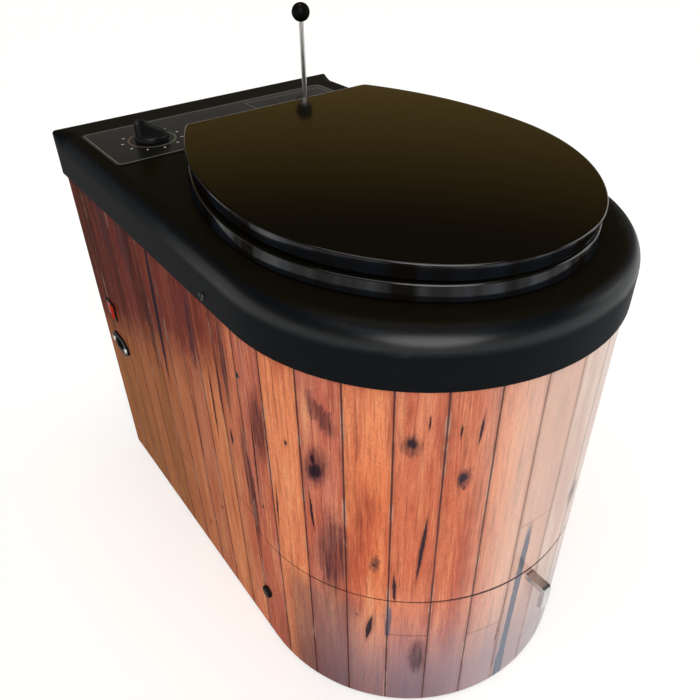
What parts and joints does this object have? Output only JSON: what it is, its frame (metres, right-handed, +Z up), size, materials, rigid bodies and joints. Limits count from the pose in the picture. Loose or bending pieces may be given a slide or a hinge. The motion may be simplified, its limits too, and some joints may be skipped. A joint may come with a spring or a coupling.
{
  "type": "incinerating toilet",
  "caption": "D-shaped electric incinerating toilet with a plank-print cabinet, hinged seat and lid, lift-rod trap flap over a burn chamber, draught fan and pull-out ash drawer.",
  "frame": {"origin": "on the floor, under the vertical axis of the round front, at the middle foot", "axes": "+Z up; -Y towards the round front and the user, +Y towards the flue; +X to the right of a viewer who faces the front"},
  "size_m": [0.398, 0.681, 0.618],
  "materials": {
    "plank_print_sheet": "printed plank pattern, satin",
    "grey_sheet": "satin powder coat",
    "galvanised": "plain zinc sheet",
    "stainless": "satin",
    "hot_steel": "heat tinted",
    "cast_flap": "as cast",
    "black_cover": "fine matte",
    "black_gloss": "gloss",
    "black_fitting": "satin",
    "label_film": "printed film",
    "red_lens": "translucent red",
    "rubber": "plain",
    "bush_bronze": "plain",
    "zinc_screw": "plated",
    "mineral_wool": "felted",
    "ceramic": "fired",
    "plywood": "raw",
    "bare_bright": "bare"
  },
  "bodies": {
    "cabinet": {"cabinet_wrap": "plank_print_sheet", "back_panel": "grey_sheet", "base_pan": "galvanised", "rubber_feet": "rubber", "inner_frame": "galvanised", "deck_plate": "plywood", "side_brackets": "galvanised", "wrap_screws": "zinc_screw", "top_cover": "black_cover", "cover_screws": "black_fitting", "control_label": "label_film", "timer_body": "black_fitting", "switch_housing": "black_fitting", "power_inlet": "black_fitting", "inlet_pins": "bare_bright", "inlet_screws": "zinc_screw", "bowl": "stainless", "bowl_gasket": "rubber", "burn_chamber": "hot_steel", "insulation_jacket": "mineral_wool", "heating_element": "hot_steel", "temperature_probe": "stainless", "flap_bearings": "bush_bronze", "crank_bearing": "bush_bronze", "flue_duct": "galvanised", "catalyst": "ceramic", "fan_housing": "galvanised", "fan_motor": "grey_sheet", "flue_elbow": "galvanised", "flue_collar": "galvanised", "control_box": "grey_sheet", "drawer_runners": "galvanised", "rod_bush": "black_fitting", "hinge_posts": "black_fitting", "hinge_pins": "stainless"},
    "seat": {"seat_ring": "black_gloss", "seat_bumpers": "rubber"},
    "lid": {"lid": "black_gloss", "lid_bumpers": "rubber"},
    "lift_rod": {"lift_rod": "stainless", "ball_knob": "black_gloss", "rod_cross_pin": "stainless"},
    "bell_crank": {"bell_crank": "galvanised", "crank_shaft": "stainless"},
    "pull_link": {"pull_link": "galvanised"},
    "flap": {"flap": "cast_flap", "flap_shaft": "stainless", "flap_crank": "galvanised"},
    "drawer": {"drawer_front": "plank_print_sheet", "drawer_tray": "galvanised", "ash_pan": "stainless", "pull_handle": "bare_bright", "panel_studs": "black_fitting"},
    "rocker": {"switch_rocker": "red_lens"},
    "timer_knob": {"timer_knob": "black_fitting", "timer_shaft": "stainless"},
    "fan_rotor": {"fan_impeller": "bare_bright", "fan_shaft": "stainless"}
  },
  "joints": [
    {"name": "seat_hinge", "type": "hinge", "parent": "cabinet", "child": "seat", "pos_m": [0, 0.243, 0.52], "axis": [-1, 0, 0], "range_deg": [0, 100]},
    {"name": "lid_hinge", "type": "hinge", "parent": "seat", "child": "lid", "pos_m": [0, 0.243, 0.52], "axis": [1, 0, 0], "range_deg": [-105, 0]},
    {"name": "rod_lift", "type": "slide", "parent": "cabinet", "child": "lift_rod", "axis": [0, 0, 1], "range_m": [0, 0.09], "stiffness_N_per_m": 60, "springref_m": -0.2},
    {"name": "crank_swing", "type": "hinge", "parent": "cabinet", "child": "bell_crank", "pos_m": [0.113, 0.27373, 0.332], "axis": [1, 0, 0], "range_deg": [0, 70.5]},
    {"name": "link_pivot", "type": "hinge", "parent": "bell_crank", "child": "pull_link", "pos_m": [0.118, 0.29668, 0.36477], "axis": [1, 0, 0], "range_deg": [-70.5, 0]},
    {"name": "flap_swing", "type": "hinge", "parent": "cabinet", "child": "flap", "pos_m": [0, 0.088, 0.332], "axis": [1, 0, 0], "range_deg": [0, 70.5]},
    {"name": "drawer_slide", "type": "slide", "parent": "cabinet", "child": "drawer", "axis": [0, -1, 0], "range_m": [0, 0.29]},
    {"name": "rocker_tilt", "type": "hinge", "parent": "cabinet", "child": "rocker", "pos_m": [-0.191, 0.376, 0.277], "axis": [0, 0, 1], "range_deg": [0, 18]},
    {"name": "timer_turn", "type": "hinge", "parent": "cabinet", "child": "timer_knob", "pos_m": [-0.115, 0.325, 0.515], "axis": [0, 0, -1], "range_deg": [0, 300]},
    {"name": "fan_spin", "type": "hinge", "parent": "cabinet", "child": "fan_rotor", "pos_m": [0, 0.29, 0.24], "axis": [0, 1, 0], "continuous": true}
  ],
  "couplings": [
    {"joint": "crank_swing", "follows": "rod_lift", "rad_per_m": 13.575},
    {"joint": "link_pivot", "follows": "rod_lift", "rad_per_m": -13.575},
    {"joint": "flap_swing", "follows": "rod_lift", "rad_per_m": 13.575}
  ]
}
